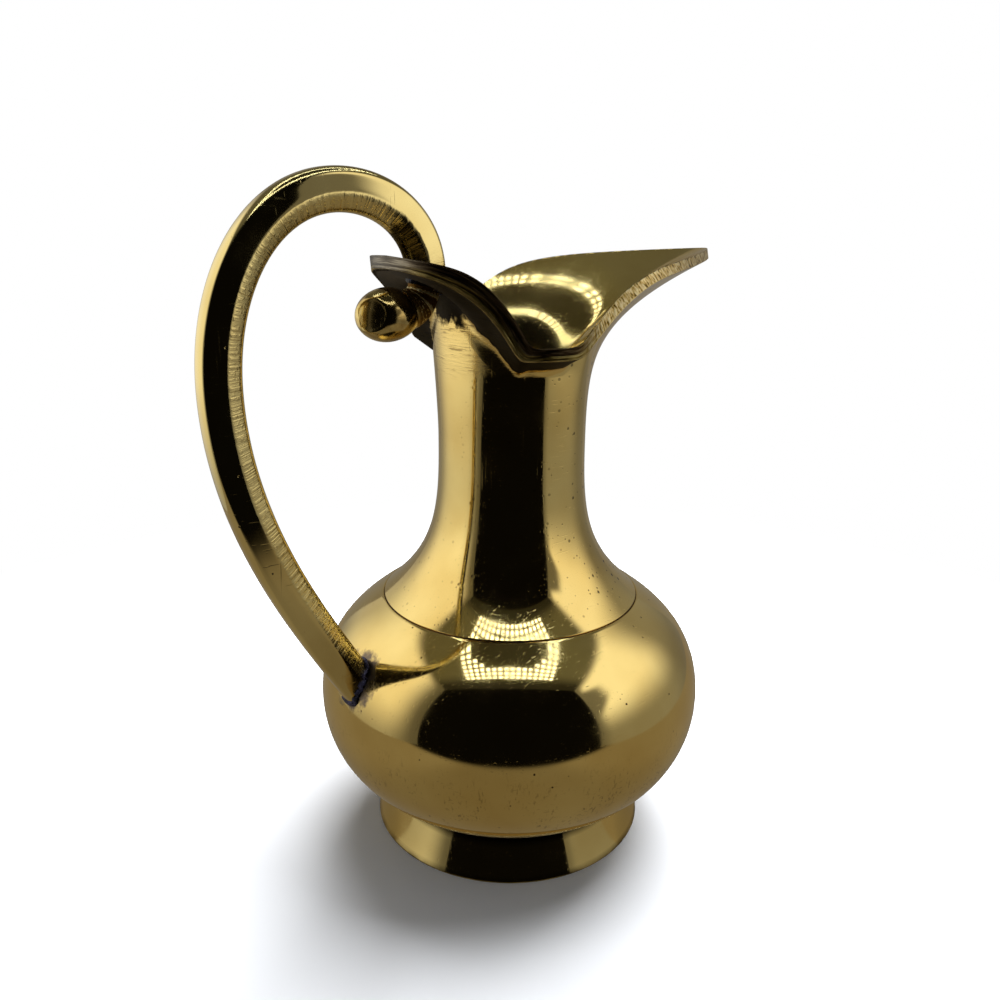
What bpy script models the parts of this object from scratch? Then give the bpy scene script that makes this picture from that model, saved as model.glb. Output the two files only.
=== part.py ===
"""Brass pitcher: a brazed brass vessel on a turned foot, with a leaf-shaped mouth and a cast loop handle.

Lengths are in metres, +Z is up, the spout points along +X and the handle along -X.
The vessel's axis is vertical; the finished pitcher is centred over the origin by its parent empty.
"""

from math import cos, exp, hypot, log, pi, radians, sin, sqrt, tan

import bmesh
import bpy
from mathutils import Vector
from mathutils.geometry import interpolate_bezier

MM = 0.001

# Driving dimensions of the foot and the bowl
FOOT_RADIUS = 34.0 * MM
FOOT_TOP_RADIUS = 29.2 * MM
FOOT_WALL = 3.0 * MM
BOWL_BOTTOM = 4.6 * MM
BELLY_RADIUS = 46.9 * MM
BELLY_HEIGHT = 35.8 * MM
SEAM_RADIUS = 31.0 * MM
SEAM_HEIGHT = 60.9 * MM
SHOULDER_SLOPE = radians(37.0)
WALL = 2.4 * MM

# Driving dimensions of the neck and the mouth
NECK_RADIUS = 17.25 * MM
NECK_HEIGHT = 100.0 * MM
RIM_HEIGHT = 137.6 * MM
DIP_DEPTH = 17.0 * MM
DIP_BEARING = 110.0
SIDE_RADIUS = 23.5 * MM
SPOUT_REACH = 63.4 * MM
LOBE_REACH = 32.6 * MM
LOBE_RISE = 1.2 * MM
TIP_RISE = 0.8 * MM
SPOUT_SLOPE = 12.0
SIDE_SLOPE = 42.0
LIP_DROP = 3.0 * MM

# Driving dimensions of the handle and its knob
ROD_DEPTH = 8.8 * MM
ROD_WIDTH = 6.2 * MM
HANDLE_RISE = 16.4 * MM
HANDLE_REACH = 69.3 * MM
HANDLE_WAIST = 117.5 * MM
JOINT_HEIGHT = 49.0 * MM
KNOB_RADIUS = 5.6 * MM
KNOB_LENGTH = 14.0 * MM
SHANK_RADIUS = 4.1 * MM

# Joints between the pieces
CLEARANCE = 0.3 * MM
BRAZE_THICKNESS = 0.6 * MM
BEAD_SIZE = 1.5 * MM

# Fineness of the meshes
TURNED_STEPS = 64
COLUMNS = 64
SECTION_POINTS = 16

for old in list(bpy.data.objects):
    bpy.data.objects.remove(old, do_unlink=True)


def new_collection(name):
    collection = bpy.data.collections.new(name)
    bpy.context.scene.collection.children.link(collection)
    return collection


pieces = new_collection("Brass pitcher")
cutters = new_collection("Cutters")
pitcher = bpy.data.objects.new("pitcher", None)
pieces.objects.link(pitcher)


def metal(name, colour, roughness):
    material = bpy.data.materials.new(name)
    material.use_nodes = True
    shader = material.node_tree.nodes["Principled BSDF"]
    shader.inputs["Base Color"].default_value = (*colour, 1.0)
    shader.inputs["Metallic"].default_value = 1.0
    shader.inputs["Roughness"].default_value = roughness
    return material


def add_object(name, mesh, material):
    """A piece when it has a material, otherwise a cutter; both hang on the pitcher's empty."""
    item = bpy.data.objects.new(name, mesh)
    item.parent = pitcher
    if material is None:
        cutters.objects.link(item)
        item.hide_render = True
        item.display_type = "WIRE"
        return item
    pieces.objects.link(item)
    mesh.materials.append(material)
    mesh.shade_smooth()
    return item


def curve_points(start, start_handle, end_handle, end, count):
    """Points of one Bezier stretch; a point is (radius or x, height)."""
    corners = [Vector((x, 0.0, z)) for x, z in (start, start_handle, end_handle, end)]
    return [(point.x, point.z) for point in interpolate_bezier(*corners, count)]


def offset_line(line, distance):
    """The line moved sideways: to the right of its running direction when distance is positive."""
    moved = []
    for index, (x, z) in enumerate(line):
        before = line[max(index - 1, 0)]
        after = line[min(index + 1, len(line) - 1)]
        run_x = after[0] - before[0]
        run_z = after[1] - before[1]
        length = hypot(run_x, run_z)
        moved.append((x + distance * run_z / length, z - distance * run_x / length))
    return moved


def turned(name, outline, closed, material=None):
    """An outline at +X, running up the inner side and down the outer side, turned about the axis."""
    mesh = bpy.data.meshes.new(name)
    edges = [(index, index + 1) for index in range(len(outline) - 1)]
    if closed:
        edges.append((len(outline) - 1, 0))
    mesh.from_pydata([(radius, 0.0, height) for radius, height in outline], edges, [])
    item = add_object(name, mesh, material)
    screw = item.modifiers.new("Turn", "SCREW")
    screw.steps = TURNED_STEPS
    screw.render_steps = TURNED_STEPS
    screw.use_merge_vertices = True
    screw.merge_threshold = 0.00001
    screw.use_smooth_shade = True
    return item


def skinned(name, rings, closed, material=None):
    """A loft through rings of equal point count; an open loft gets a cap at both ends."""
    shape = bmesh.new()
    rows = [[shape.verts.new(point) for point in ring] for ring in rings]
    around = len(rows[0])
    pairs = list(zip(rows, rows[1:]))
    if closed:
        pairs.append((rows[-1], rows[0]))
    for low, high in pairs:
        for index in range(around):
            following = (index + 1) % around
            shape.faces.new((low[index], low[following], high[following], high[index]))
    if not closed:
        shape.faces.new(reversed(rows[0]))
        shape.faces.new(rows[-1])
    bmesh.ops.recalc_face_normals(shape, faces=shape.faces)
    mesh = bpy.data.meshes.new(name)
    shape.to_mesh(mesh)
    shape.free()
    return add_object(name, mesh, material)


def combine(item, tool, operation):
    boolean = item.modifiers.new(tool.name, "BOOLEAN")
    boolean.operation = operation
    boolean.solver = "EXACT"
    boolean.object = tool


# Outlines of the bowl: bottom centre, belly, then up to the shoulder seam
shoulder = (cos(SHOULDER_SLOPE), sin(SHOULDER_SLOPE))
lower_bowl = curve_points(
    (0.0, BOWL_BOTTOM),
    (0.65 * BELLY_RADIUS, BOWL_BOTTOM),
    (BELLY_RADIUS, BELLY_HEIGHT - 0.58 * (BELLY_HEIGHT - BOWL_BOTTOM)),
    (BELLY_RADIUS, BELLY_HEIGHT),
    14,
)
shoulder_rise = SEAM_HEIGHT - BELLY_HEIGHT
upper_bowl = curve_points(
    (BELLY_RADIUS, BELLY_HEIGHT),
    (BELLY_RADIUS, BELLY_HEIGHT + 0.58 * shoulder_rise),
    (
        SEAM_RADIUS + 0.31 * shoulder_rise * shoulder[0],
        SEAM_HEIGHT - 0.31 * shoulder_rise * shoulder[1],
    ),
    (SEAM_RADIUS, SEAM_HEIGHT),
    10,
)
bowl_line = lower_bowl + upper_bowl[1:]


def crossing(line, axis, value):
    """The other coordinate where the line first passes a value of one coordinate."""
    for first, second in zip(line, line[1:]):
        low, high = sorted((first[axis], second[axis]))
        if low <= value <= high and high > low:
            share = (value - first[axis]) / (second[axis] - first[axis])
            return first[1 - axis] + share * (second[1 - axis] - first[1 - axis])
    return line[-1][1 - axis]


def bowl_body(name, grow):
    """The bowl's outer shape as a solid, grown by a distance, for fitting other pieces to it."""
    grown = offset_line(bowl_line, grow)
    top = SEAM_HEIGHT + 2.0 * BEAD_SIZE
    grown[0] = (0.0, grown[0][1])
    outline = [(0.0, top), (grown[-1][0], top)] + list(reversed(grown))
    return turned(name, outline, closed=False)


# Bowl, raised from sheet and open at the shoulder
brass_bowl = metal("Polished brass, bowl", (0.62, 0.45, 0.16), 0.16)
seam_half = 0.5 * BRAZE_THICKNESS + CLEARANCE
bowl_outer = list(bowl_line)
seam_point = bowl_outer[-1]
bowl_outer[-1] = (seam_point[0] + seam_half * shoulder[0], seam_point[1] - seam_half * shoulder[1])
bowl_inner = offset_line(bowl_outer, -WALL)
bowl_inner[0] = (0.0, BOWL_BOTTOM + WALL)
turned("belly_bowl", bowl_inner + list(reversed(bowl_outer)), closed=False, material=brass_bowl)

# Foot ring, seated under the bowl
brass_foot = metal("Polished brass, foot", (0.58, 0.42, 0.15), 0.2)
seat_line = offset_line(bowl_line, CLEARANCE)
foot_inner_radius = FOOT_TOP_RADIUS - FOOT_WALL
seat_outer = crossing(seat_line, 0, FOOT_TOP_RADIUS)
seat_middle = crossing(seat_line, 0, FOOT_TOP_RADIUS - 0.5 * FOOT_WALL)
seat_inner = crossing(seat_line, 0, foot_inner_radius)
foot_flare = FOOT_RADIUS - FOOT_TOP_RADIUS
foot_outer = curve_points(
    (FOOT_TOP_RADIUS, seat_outer),
    (FOOT_TOP_RADIUS + 0.15 * foot_flare, 0.67 * seat_outer),
    (FOOT_TOP_RADIUS + 0.55 * foot_flare, 0.3 * seat_outer),
    (FOOT_RADIUS, 0.0),
    7,
)
foot_inner = curve_points(
    (FOOT_RADIUS - FOOT_WALL, 0.0),
    (foot_inner_radius + 0.55 * foot_flare, 0.3 * seat_inner),
    (foot_inner_radius + 0.15 * foot_flare, 0.67 * seat_inner),
    (foot_inner_radius, seat_inner),
    7,
)
foot_seat = [(FOOT_TOP_RADIUS - 0.5 * FOOT_WALL, seat_middle)]
turned("foot_ring", foot_inner + foot_seat + foot_outer, closed=True, material=brass_foot)

# Braze fillet in the corner between the foot's inner wall and the bowl's underside
braze = metal("Heat-darkened braze", (0.10, 0.09, 0.12), 0.45)
fillet_outer = foot_inner_radius - CLEARANCE
fillet_inner = fillet_outer - 2.0 * BEAD_SIZE
foot_fillet = [
    (fillet_outer, crossing(seat_line, 0, fillet_outer) - 1.5 * BEAD_SIZE),
    (fillet_inner, crossing(seat_line, 0, fillet_inner)),
    (0.5 * (fillet_inner + fillet_outer), crossing(seat_line, 0, 0.5 * (fillet_inner + fillet_outer))),
    (fillet_outer, crossing(seat_line, 0, fillet_outer)),
]
turned("foot_seam_braze", foot_fillet, closed=True, material=braze)

# Braze line between the bowl's upper edge and the neck's lower edge
line_half = 0.5 * BRAZE_THICKNESS
inward = (-shoulder[1] * WALL, -shoulder[0] * WALL)
low_edge = (SEAM_RADIUS + line_half * shoulder[0], SEAM_HEIGHT - line_half * shoulder[1])
high_edge = (SEAM_RADIUS - line_half * shoulder[0], SEAM_HEIGHT + line_half * shoulder[1])
seam_ring = [
    (low_edge[0] + inward[0], low_edge[1] + inward[1]),
    (high_edge[0] + inward[0], high_edge[1] + inward[1]),
    high_edge,
    low_edge,
]
turned("shoulder_seam_braze", seam_ring, closed=True, material=braze)


# Rim of the mouth: a long spout in front, a short lobe behind and a dip on either side
def bearing_of(column):
    """Bearings from the spout, in degrees, set closer together towards the spout's tip."""
    half = COLUMNS // 2
    share = column / half if column <= half else (COLUMNS - column) / half
    bearing = 180.0 * share**1.35
    return bearing if column <= half else -bearing


def soft_step(value, low, high):
    """A soft step from 0 at one value to 1 at another, which may be the smaller one."""
    share = max(0.0, min(1.0, (value - low) / (high - low)))
    return share * share * (3.0 - 2.0 * share)


def dip_share(bearing):
    """1 along the flat bottom of the side dips, falling to 0 at the spout and at the lobe."""
    away = abs(abs(bearing) - DIP_BEARING)
    fade = (away / 36.6) ** 1.5 if abs(bearing) < DIP_BEARING else (away / 26.6) ** 1.75
    return -0.05 * log(exp(-28.2 * exp(-fade)) + exp(-20.0))


def rim_point(bearing):
    tip_round = 1.5
    swing = sqrt(bearing * bearing + tip_round * tip_round) - tip_round
    spout = exp(-swing / 28.0)
    lobe = exp(-(((180.0 - abs(bearing)) / 42.0) ** 3.4))
    radius = SIDE_RADIUS + (SPOUT_REACH - SIDE_RADIUS) * spout + (LOBE_REACH - SIDE_RADIUS) * lobe
    height = RIM_HEIGHT - DIP_DEPTH * dip_share(bearing) + TIP_RISE * spout * spout + LOBE_RISE * lobe
    return radius, height


def flare_line(bearing):
    """Outer line of the mouth at one bearing, from the narrowest part of the neck up to the rim.

    It flares softly at the spout; from the dips to the lobe the neck runs straight up to a sloping lip.
    """
    bearing = abs(bearing)
    radius, height = rim_point(bearing)
    slope = radians(SIDE_SLOPE + (SPOUT_SLOPE - SIDE_SLOPE) * exp(-abs(bearing) / 30.0))
    reach = 0.4 * hypot(radius - NECK_RADIUS, height - NECK_HEIGHT)
    reach = min(reach, 0.9 * (radius - NECK_RADIUS) / cos(slope))
    soft_line = curve_points(
        (NECK_RADIUS, NECK_HEIGHT),
        (NECK_RADIUS, NECK_HEIGHT + 0.58 * (height - NECK_HEIGHT)),
        (radius - reach * cos(slope), height - reach * sin(slope)),
        (radius, height),
        12,
    )
    climb = rim_point(bearing + 2.0)[1] - rim_point(bearing - 2.0)[1] if bearing < DIP_BEARING else 0.0
    steepness = min(2.3, hypot(1.0, climb / (radians(4.0) * SIDE_RADIUS)))
    drop = min(steepness * LIP_DROP, height - (RIM_HEIGHT - DIP_DEPTH - LIP_DROP))
    if bearing > DIP_BEARING:
        lip_slope = 25.0 + 16.0 * soft_step(bearing, 116.0, 134.0) - 18.0 * soft_step(bearing, 142.0, 176.0)
        drop = 0.9 * (radius - NECK_RADIUS) * tan(radians(lip_slope))
    drop = min(drop, 0.4 * (height - NECK_HEIGHT))
    corner = (NECK_RADIUS + 0.11 * (radius - NECK_RADIUS), height - drop)
    root = (NECK_RADIUS + 0.06 * (radius - NECK_RADIUS), corner[1] - 0.5 * LIP_DROP)
    lip_start = (corner[0] + 0.2 * (radius - corner[0]), corner[1] + 0.2 * drop)
    straight = curve_points((NECK_RADIUS, NECK_HEIGHT), (NECK_RADIUS, NECK_HEIGHT + LIP_DROP), root, root, 6)
    bend = curve_points(root, corner, corner, lip_start, 4)
    lip = curve_points(lip_start, lip_start, (radius, height), (radius, height), 4)
    tight = soft_step(bearing, 66.0, 92.0)
    return [
        (soft[0] + tight * (hard[0] - soft[0]), soft[1] + tight * (hard[1] - soft[1]))
        for soft, hard in zip(soft_line, straight + bend[1:] + lip[1:])
    ]


neck_rise = NECK_HEIGHT - SEAM_HEIGHT
lower_neck = curve_points(
    (SEAM_RADIUS, SEAM_HEIGHT),
    (
        SEAM_RADIUS - 0.46 * neck_rise * shoulder[0],
        SEAM_HEIGHT + 0.46 * neck_rise * shoulder[1],
    ),
    (NECK_RADIUS, NECK_HEIGHT - 0.43 * neck_rise),
    (NECK_RADIUS, NECK_HEIGHT),
    10,
)


def neck_line(bearing):
    line = lower_neck + flare_line(bearing)[1:]
    line[0] = (SEAM_RADIUS - seam_half * shoulder[0], SEAM_HEIGHT + seam_half * shoulder[1])
    return line


def rings_from_lines(line_at):
    """Level-by-level rings from a line given at each bearing; every line has the same point count."""
    bearings = [bearing_of(column) for column in range(COLUMNS)]
    lines = [line_at(bearing) for bearing in bearings]
    rings = []
    for level in range(len(lines[0])):
        ring = []
        for bearing, line in zip(bearings, lines):
            radius, height = line[level]
            ring.append((radius * cos(radians(bearing)), radius * sin(radians(bearing)), height))
        rings.append(ring)
    return rings


def neck_shell(bearing):
    outer = neck_line(bearing)
    return offset_line(outer, -WALL) + list(reversed(outer))


def neck_body(name, grow):
    """The neck and mouth filled solid up to above the rim, grown by a distance."""

    def filled(bearing):
        grown = offset_line(neck_line(bearing), grow)
        return grown + [(grown[-1][0], RIM_HEIGHT + 0.5 * ROD_DEPTH)]

    return skinned(name, rings_from_lines(filled), closed=False)


brass_neck = metal("Polished brass, neck", (0.64, 0.47, 0.17), 0.15)
neck = skinned("neck_and_mouth", rings_from_lines(neck_shell), closed=True, material=brass_neck)


# Handle: a cast rod on the mirror plane, from the knob under the lobe, over the top and down to the bowl
joint_x = -crossing(list(reversed(bowl_line)), 1, JOINT_HEIGHT)
entry_x = -LOBE_REACH + 9.0 * MM
knob_x = entry_x - 9.2 * MM
knob_height = RIM_HEIGHT - 8.2 * MM
knob_tip = knob_x - 0.5 * KNOB_LENGTH
entry_height = knob_height + 7.8 * MM
crown_x = -0.5 * (HANDLE_REACH - entry_x) + 3.5 * MM
handle_top = RIM_HEIGHT + HANDLE_RISE
rod_end = (joint_x + 5.0 * MM, JOINT_HEIGHT - 9.0 * MM)
rod_fall = (0.5, -0.866)


def handle_path():
    """Centre line (x, height) from the knob's tip to the end inside the joint."""
    end_reach = 0.32 * (HANDLE_WAIST - rod_end[1])
    shank = curve_points(
        (knob_tip, knob_height),
        (knob_tip + 12.0 * MM, knob_height),
        (entry_x, knob_height + 0.5 * MM),
        (entry_x, entry_height),
        21,
    )
    rise = curve_points(
        (entry_x, entry_height),
        (entry_x, entry_height + 0.56 * (handle_top - entry_height)),
        (crown_x + 0.56 * (entry_x - crown_x), handle_top),
        (crown_x, handle_top),
        10,
    )
    back = curve_points(
        (crown_x, handle_top),
        (crown_x - 0.58 * (HANDLE_REACH + crown_x), handle_top),
        (-HANDLE_REACH, HANDLE_WAIST + 0.57 * (handle_top - HANDLE_WAIST)),
        (-HANDLE_REACH, HANDLE_WAIST),
        12,
    )
    fall = curve_points(
        (-HANDLE_REACH, HANDLE_WAIST),
        (-HANDLE_REACH, HANDLE_WAIST - 0.39 * (HANDLE_WAIST - rod_end[1])),
        (rod_end[0] - end_reach * rod_fall[0], rod_end[1] - end_reach * rod_fall[1]),
        rod_end,
        14,
    )
    return shank + rise[1:] + back[1:] + fall[1:]


def rod_size(distance):
    """Half depth, half width and squareness of the section at a distance from the knob's tip."""
    shank_start = 0.93 * KNOB_LENGTH
    rod_start = shank_start + 7.0 * MM
    if distance < shank_start:
        place = (2.0 * distance / KNOB_LENGTH) - 1.0
        radius = max(KNOB_RADIUS * sqrt(max(1.0 - place * place, 0.0)), 0.3 * MM)
        radius = max(radius, SHANK_RADIUS) if place > 0.0 else radius
        return radius, radius, 2.0
    share = min((distance - shank_start) / (rod_start - shank_start), 1.0)
    share = share * share * (3.0 - 2.0 * share)
    depth = SHANK_RADIUS + share * (0.5 * ROD_DEPTH - SHANK_RADIUS)
    width = SHANK_RADIUS + share * (0.5 * ROD_WIDTH - SHANK_RADIUS)
    return depth, width, 2.0 + share


def rod(name, grow, start, end, material=None):
    """The handle, or a stretch of it between two distances along its centre line, grown all round."""
    path = handle_path()
    rings = []
    distance = 0.0
    for index, (x, height) in enumerate(path):
        before = path[max(index - 1, 0)]
        after = path[min(index + 1, len(path) - 1)]
        distance += hypot(x - before[0], height - before[1]) if index else 0.0
        if distance < start or distance > end:
            continue
        run = Vector((after[0] - before[0], 0.0, after[1] - before[1])).normalized()
        side = Vector((run.z, 0.0, -run.x))
        depth, width, squareness = rod_size(distance)
        ring = []
        for step in range(SECTION_POINTS):
            turn = 2.0 * pi * (step + 0.5) / SECTION_POINTS
            across = abs(cos(turn)) ** (2.0 / squareness) * (depth + grow)
            along = abs(sin(turn)) ** (2.0 / squareness) * (width + grow)
            across = across if cos(turn) > 0.0 else -across
            along = along if sin(turn) > 0.0 else -along
            ring.append(Vector((x, 0.0, height)) + side * across + Vector((0.0, along, 0.0)))
        rings.append(ring)
    return skinned(name, rings, closed=False, material=material)


whole = 1.0
brass_handle = metal("Polished brass, handle", (0.55, 0.39, 0.12), 0.2)
handle = rod("handle", 0.0, 0.0, whole, brass_handle)
rod_room = rod("rod_room", CLEARANCE, 0.0, whole)
bowl_room = bowl_body("bowl_room", CLEARANCE)
neck_room = neck_body("neck_room", CLEARANCE)
combine(handle, bowl_room, "DIFFERENCE")
combine(neck, rod_room, "DIFFERENCE")

# Braze bead around the handle's coped end on the bowl
rod_length = sum(hypot(b[0] - a[0], b[1] - a[1]) for a, b in zip(handle_path(), handle_path()[1:]))
lower_bead = rod("lower_handle_braze", BEAD_SIZE, rod_length - 45.0 * MM, whole, braze)
combine(lower_bead, bowl_body("bowl_bead_limit", CLEARANCE + BEAD_SIZE), "INTERSECT")
combine(lower_bead, bowl_room, "DIFFERENCE")
combine(lower_bead, rod_room, "DIFFERENCE")

# Braze fillet in the corner under the shank, where it leaves the neck below the lobe
corner_height = knob_height - SHANK_RADIUS
corner_x = -crossing(neck_line(180.0), 1, corner_height)
bead_shape = bmesh.new()
bmesh.ops.create_uvsphere(bead_shape, u_segments=24, v_segments=14, radius=2.0 * BEAD_SIZE)
bmesh.ops.scale(bead_shape, verts=bead_shape.verts, vec=(1.0, 1.3, 1.0))
bmesh.ops.translate(bead_shape, verts=bead_shape.verts, vec=(corner_x, 0.0, corner_height))
bead_mesh = bpy.data.meshes.new("upper_handle_braze")
bead_shape.to_mesh(bead_mesh)
bead_shape.free()
upper_bead = add_object("upper_handle_braze", bead_mesh, braze)
combine(upper_bead, neck_room, "DIFFERENCE")
combine(upper_bead, rod_room, "DIFFERENCE")

# Centre the pitcher's bounding box over the origin
bpy.context.view_layer.update()
graph = bpy.context.evaluated_depsgraph_get()
reaches = []
for piece in pieces.objects:
    if piece.type == "MESH":
        shape = piece.evaluated_get(graph)
        reaches += [corner[0] for corner in shape.bound_box]
pitcher.location.x = -0.5 * (min(reaches) + max(reaches))
bpy.context.view_layer.update()
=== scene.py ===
"""A small polished-brass pitcher, photographed in a white light tent."""

from math import atan2, copysign, cos, degrees, exp, hypot, log, pi, radians, sin, sqrt, tan

import bmesh
import bpy
from mathutils import Matrix, Vector, noise
from mathutils.geometry import interpolate_bezier


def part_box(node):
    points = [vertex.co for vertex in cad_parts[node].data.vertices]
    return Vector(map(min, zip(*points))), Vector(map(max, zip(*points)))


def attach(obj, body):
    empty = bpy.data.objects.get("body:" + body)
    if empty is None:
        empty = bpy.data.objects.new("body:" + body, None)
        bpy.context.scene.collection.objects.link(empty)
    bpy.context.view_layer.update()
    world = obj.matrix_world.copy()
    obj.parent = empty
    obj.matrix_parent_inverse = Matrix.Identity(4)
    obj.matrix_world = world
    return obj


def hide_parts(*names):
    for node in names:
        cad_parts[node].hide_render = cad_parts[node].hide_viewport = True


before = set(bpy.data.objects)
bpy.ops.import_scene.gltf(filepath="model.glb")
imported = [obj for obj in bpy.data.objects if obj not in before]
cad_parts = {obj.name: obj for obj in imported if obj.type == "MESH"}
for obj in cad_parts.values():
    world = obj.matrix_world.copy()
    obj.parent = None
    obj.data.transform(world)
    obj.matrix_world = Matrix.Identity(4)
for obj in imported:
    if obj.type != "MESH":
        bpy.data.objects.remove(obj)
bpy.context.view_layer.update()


# Foot ring: a turned brass ring, flared towards the table and hollow underneath.
# It is brazed under the bowl, and only its lower edge touches what the pitcher stands on.
# Along that edge it is darker in patches, and its top, in the corner under the bowl, is painted dark as
# shade.
MM = 0.001
TURN_STEPS = 224
foot_low, foot_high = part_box("foot_ring")
vessel_x = 0.5 * (foot_low.x + foot_high.x)
foot_radius = 0.5 * (foot_high.x - foot_low.x)
foot_top_radius = 29.2 * MM
foot_wall = 3.0 * MM
foot_height = 9.7 * MM
foot_lap = 1.0 * MM
foot_flare = foot_radius - foot_top_radius
foot_bore = foot_top_radius - foot_wall


def curve(start, start_handle, end_handle, end, count):
    """Points (radius, height) of one Bezier stretch."""
    corners = [Vector((radius, 0.0, height)) for radius, height in (start, start_handle, end_handle, end)]
    return [(point.x, point.z) for point in interpolate_bezier(*corners, count)]


def turned(outline, closed):
    """An outline of (radius, height) points spun about the vessel's axis."""
    shape = bmesh.new()
    points = [shape.verts.new((vessel_x + radius, 0.0, height)) for radius, height in outline]
    for first, second in zip(points, points[1:]):
        shape.edges.new((first, second))
    if closed:
        shape.edges.new((points[-1], points[0]))
    bmesh.ops.spin(
        shape,
        geom=list(shape.verts) + list(shape.edges),
        cent=(vessel_x, 0.0, 0.0),
        axis=(0.0, 0.0, 1.0),
        angle=2.0 * pi,
        steps=TURN_STEPS,
        use_merge=True,
    )
    bmesh.ops.remove_doubles(shape, verts=shape.verts, dist=0.001 * MM)
    bmesh.ops.recalc_face_normals(shape, faces=shape.faces)
    return shape


def wear_edges(shape, width, angle):
    """Rounds every edge that is sharper than an angle, as polishing does."""
    sharp = [edge for edge in shape.edges if edge.is_manifold and edge.calc_face_angle() > radians(angle)]
    bmesh.ops.bevel(
        shape,
        geom=sharp,
        offset=width,
        offset_type="OFFSET",
        affect="EDGES",
        segments=3,
        profile=0.5,
        clamp_overlap=True,
        material=-1,
    )


def new_piece(name, shape, material):
    """A smooth-shaded mesh object at the origin, from a finished bmesh."""
    mesh = bpy.data.meshes.new(name)
    shape.to_mesh(mesh)
    shape.free()
    mesh.shade_smooth()
    mesh.materials.append(material)
    piece = bpy.data.objects.new(name, mesh)
    bpy.context.scene.collection.objects.link(piece)
    return piece


def linear(hex_colour):
    """An sRGB hex colour as linear RGBA."""
    parts = [int(hex_colour[place : place + 2], 16) / 255.0 for place in (1, 3, 5)]
    return (*[part / 12.92 if part <= 0.04045 else ((part + 0.055) / 1.055) ** 2.4 for part in parts], 1.0)


def add_node(tree, kind, *values, out=None, **settings):
    """Adds a shader node with its settings, and gives its named output or else its first one.
    Its inputs take the values in turn: a number, a vector, a hex colour, a socket to link, or None."""
    node = tree.nodes.new("ShaderNode" + kind)
    for setting, value in settings.items():
        setattr(node, setting, value)
    for socket, value in zip([socket for socket in node.inputs if socket.enabled], values):
        if isinstance(value, bpy.types.NodeSocket):
            tree.links.new(value, socket)
        elif value is not None:
            socket.default_value = linear(value) if isinstance(value, str) else value
    return node.outputs[out] if out else next(socket for socket in node.outputs if socket.enabled)


def grain(tree, place, size, detail=2.0, stretch=(1.0, 1.0, 1.0), turn=(0.0, 0.0, 0.0), rough=0.5):
    """Noise whose features are about one size in metres across, drawn out or turned as asked."""
    shrink = tuple(1.0 / factor for factor in stretch)
    laid = add_node(tree, "Mapping", place, None, turn, shrink)
    return add_node(tree, "TexNoise", laid, 1.0 / size, detail, rough)


def stain(brass, where, colour):
    """Covers the brass with another colour, as thickly as a factor says."""
    brass["colour"] = add_node(brass["tree"], "Mix", where, brass["colour"], colour, data_type="RGBA")


def roughen(brass, where, amount):
    """Takes some polish off the brass, as far as a factor says."""
    more = add_node(brass["tree"], "Math", where, amount, operation="MULTIPLY")
    brass["rough"] = add_node(brass["tree"], "Math", brass["rough"], more, operation="ADD")


def polished_brass(name, tone="#EED48A", deep="#DDBE72"):
    """Cast and raised brass, polished to a mirror: warm yellow, cloudy where it has tarnished,
    with rub marks and hairline scratches that only show where a reflection crosses them.
    The hairs are drawn far wider than real ones, which would be too fine to show."""
    material = bpy.data.materials.new(name)
    material.use_nodes = True
    tree = material.node_tree
    shader = tree.nodes["Principled BSDF"]
    shader.inputs["Metallic"].default_value = 1.0
    place = add_node(tree, "TexCoord", out="Object")
    clouds = add_node(tree, "MapRange", grain(tree, place, 22.0 * MM, detail=3.0), 0.38, 0.72)
    rubbed = add_node(tree, "MapRange", grain(tree, place, 7.0 * MM, detail=4.0), 0.4, 0.75, 0.055, 0.13)
    hairs = grain(tree, place, 0.45 * MM, detail=1.0, stretch=(26.0, 1.0, 1.0), turn=(0.4, 0.9, 0.3))
    hairs = add_node(tree, "MapRange", hairs, 0.68, 0.78)
    more_hairs = grain(tree, place, 0.5 * MM, detail=1.0, stretch=(1.0, 1.0, 30.0), turn=(0.7, 0.2, 1.1))
    more_hairs = add_node(tree, "MapRange", more_hairs, 0.69, 0.79)
    scratches = add_node(tree, "Math", hairs, more_hairs, operation="MAXIMUM")
    brass = {
        "material": material,
        "tree": tree,
        "shader": shader,
        "place": place,
        "colour": add_node(tree, "Mix", clouds, tone, deep, data_type="RGBA"),
        "rough": rubbed,
        "height": add_node(tree, "Math", scratches, -0.2, operation="MULTIPLY"),
    }
    roughen(brass, scratches, 0.12)
    return brass


def finish_brass(brass, depth):
    """Joins the brass's colour, polish and relief to its shader; depth is the relief's full height."""
    relief = add_node(brass["tree"], "Bump", 1.0, depth, None, brass["height"])
    for key, source in (("Base Color", brass["colour"]), ("Roughness", brass["rough"]), ("Normal", relief)):
        brass["tree"].links.new(source, brass["shader"].inputs[key])
    return brass["material"]


foot_outer = curve(
    (foot_top_radius, foot_height),
    (foot_top_radius + 0.3 * foot_flare, 0.67 * foot_height),
    (foot_top_radius + 0.62 * foot_flare, 0.33 * foot_height),
    (foot_radius, 0.0),
    24,
)
foot_inner = curve(
    (foot_radius - foot_wall, 0.0),
    (foot_bore + 0.55 * foot_flare, 0.3 * foot_height),
    (foot_bore + 0.15 * foot_flare, 0.67 * foot_height),
    (foot_bore, foot_height - foot_lap),
    16,
)
foot_shape = turned(foot_inner + foot_outer, closed=True)
wear_edges(foot_shape, 0.35 * MM, 40.0)
foot_brass = polished_brass("Polished brass, turned foot")
foot_tree = foot_brass["tree"]
foot_z = add_node(foot_tree, "SeparateXYZ", foot_brass["place"], out="Z")
# Darker in patches along the lower edge.
lower_edge_darkening = add_node(foot_tree, "MapRange", foot_z, 1.4 * MM, 0.2 * MM)
foot_patches = grain(foot_tree, foot_brass["place"], 5.0 * MM, detail=3.0)
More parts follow.
